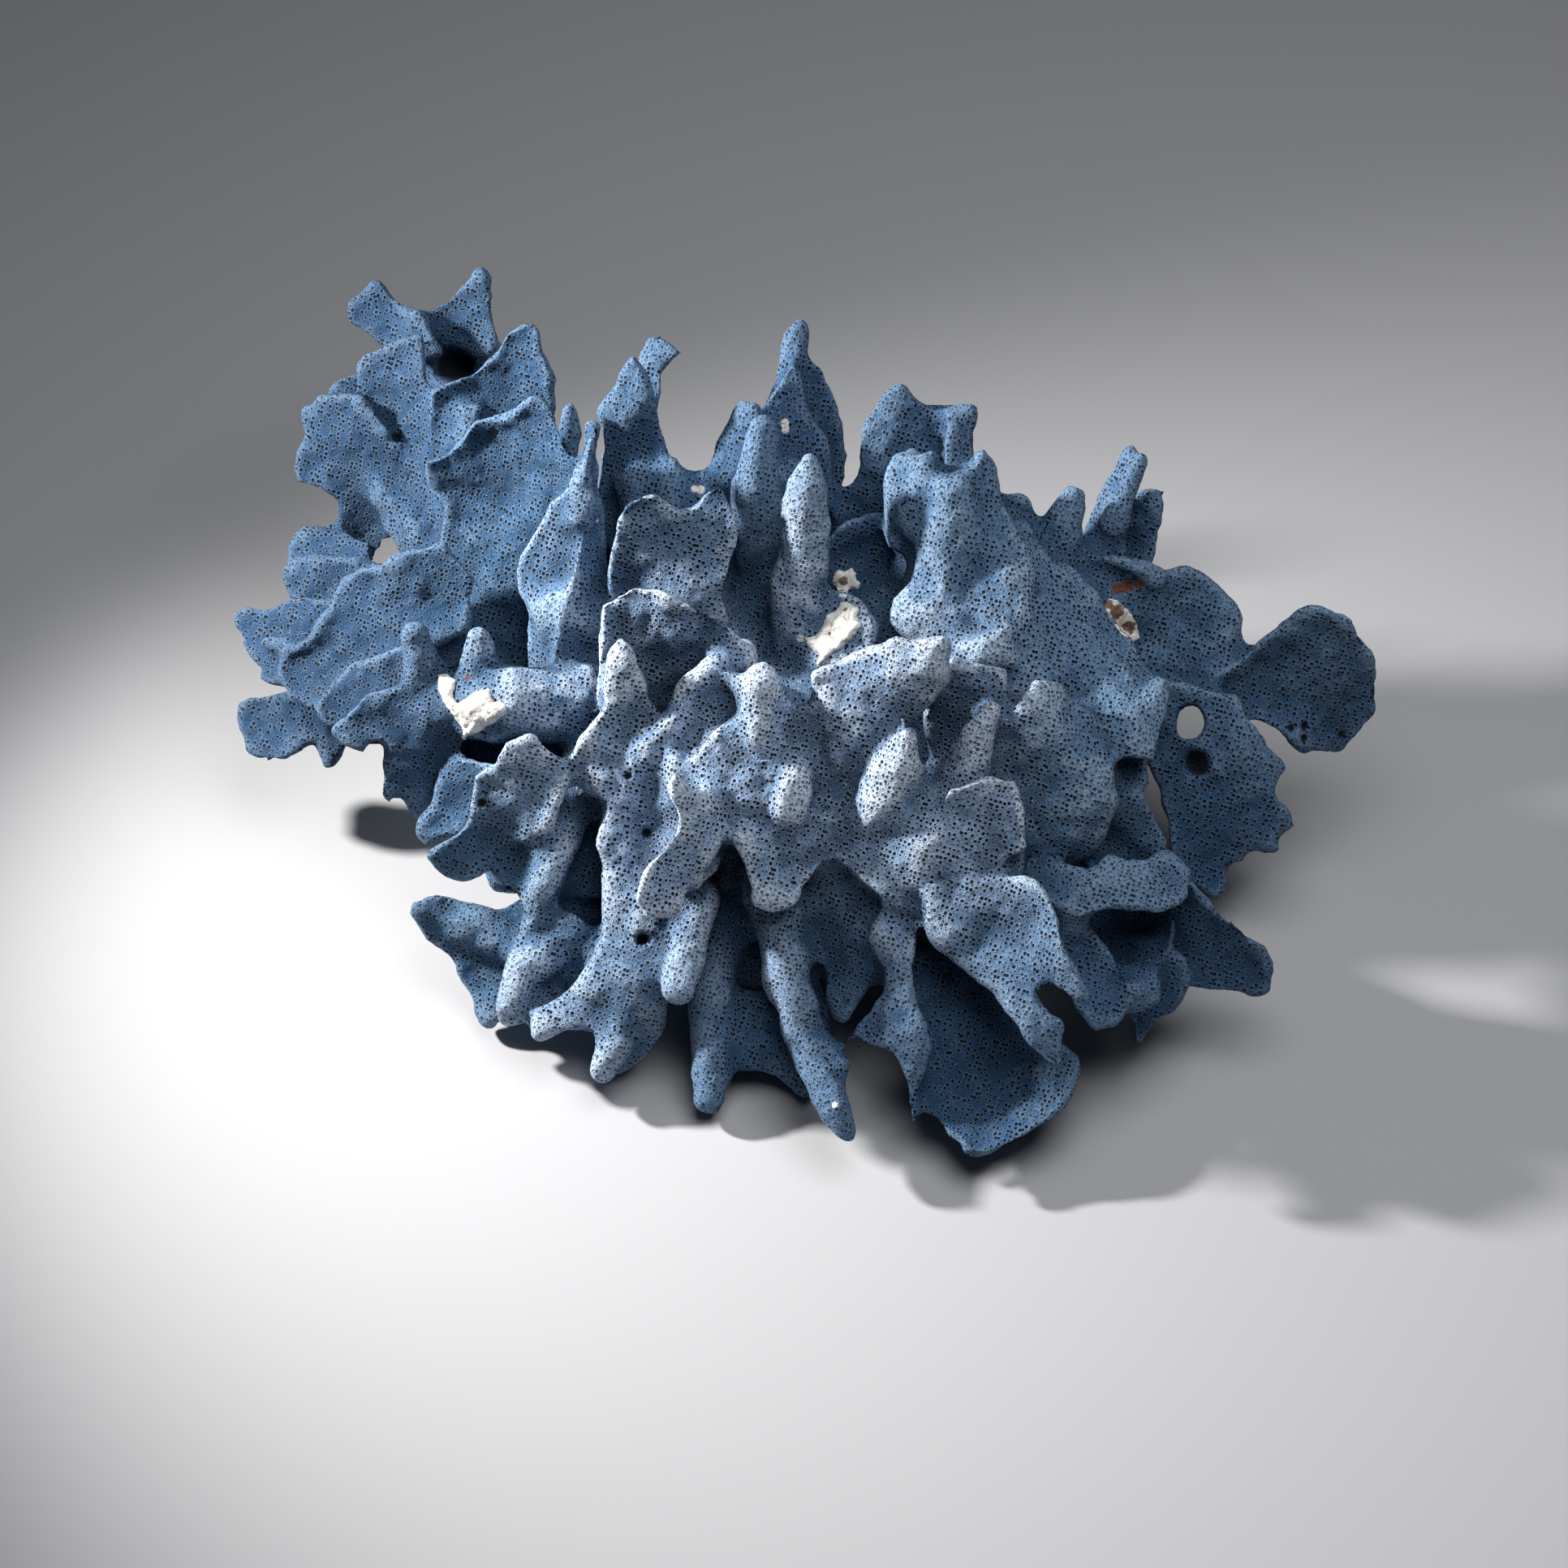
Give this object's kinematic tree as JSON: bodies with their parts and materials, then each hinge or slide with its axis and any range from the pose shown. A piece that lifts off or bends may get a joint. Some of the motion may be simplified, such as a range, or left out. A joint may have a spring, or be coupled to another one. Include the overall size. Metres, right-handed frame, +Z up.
{
  "type": "blue ridge coral skeleton",
  "caption": "Dry blue coral skeleton of thin upright ridges, fans and stub fingers that fork from one low trunk, cut off flat to rest on a shelf.",
  "frame": {"origin": "middle of the flat cut that the trunk rests on", "axes": "+Z up from the cut, +X along the longest spread of the branches, to the right as seen in the picture, +Y to the back"},
  "size_m": [0.2903, 0.2216, 0.1215],
  "materials": {
    "blue_skeleton": "matt dry coral skeleton, slate blue with paler lavender ridges, pricked all over with tiny dark pores",
    "white_crust": "chalky off-white lime crust with brown cracks"
  },
  "bodies": {
    "root": {"trunk": "blue_skeleton", "front_left_stem": "blue_skeleton", "centre_saddle": "blue_skeleton", "centre_right": "blue_skeleton", "front_centre": "blue_skeleton", "front_right": "blue_skeleton", "front_left_lobes": "blue_skeleton", "left_crest": "blue_skeleton", "left_arm": "blue_skeleton", "right_shoulder": "blue_skeleton", "back_right_crest": "blue_skeleton", "back_spires": "blue_skeleton", "left_plate": "blue_skeleton", "right_low": "blue_skeleton", "right_fan": "blue_skeleton", "back_left_fan": "blue_skeleton", "left_fan": "blue_skeleton", "left_tiers": "blue_skeleton", "rear_left": "blue_skeleton", "rear_middle": "blue_skeleton", "rear_right": "blue_skeleton", "low_left": "blue_skeleton", "low_right": "blue_skeleton", "left_scar_crust": "white_crust", "centre_crust": "white_crust", "right_shoulder_crust": "white_crust"}
  },
  "joints": []
}
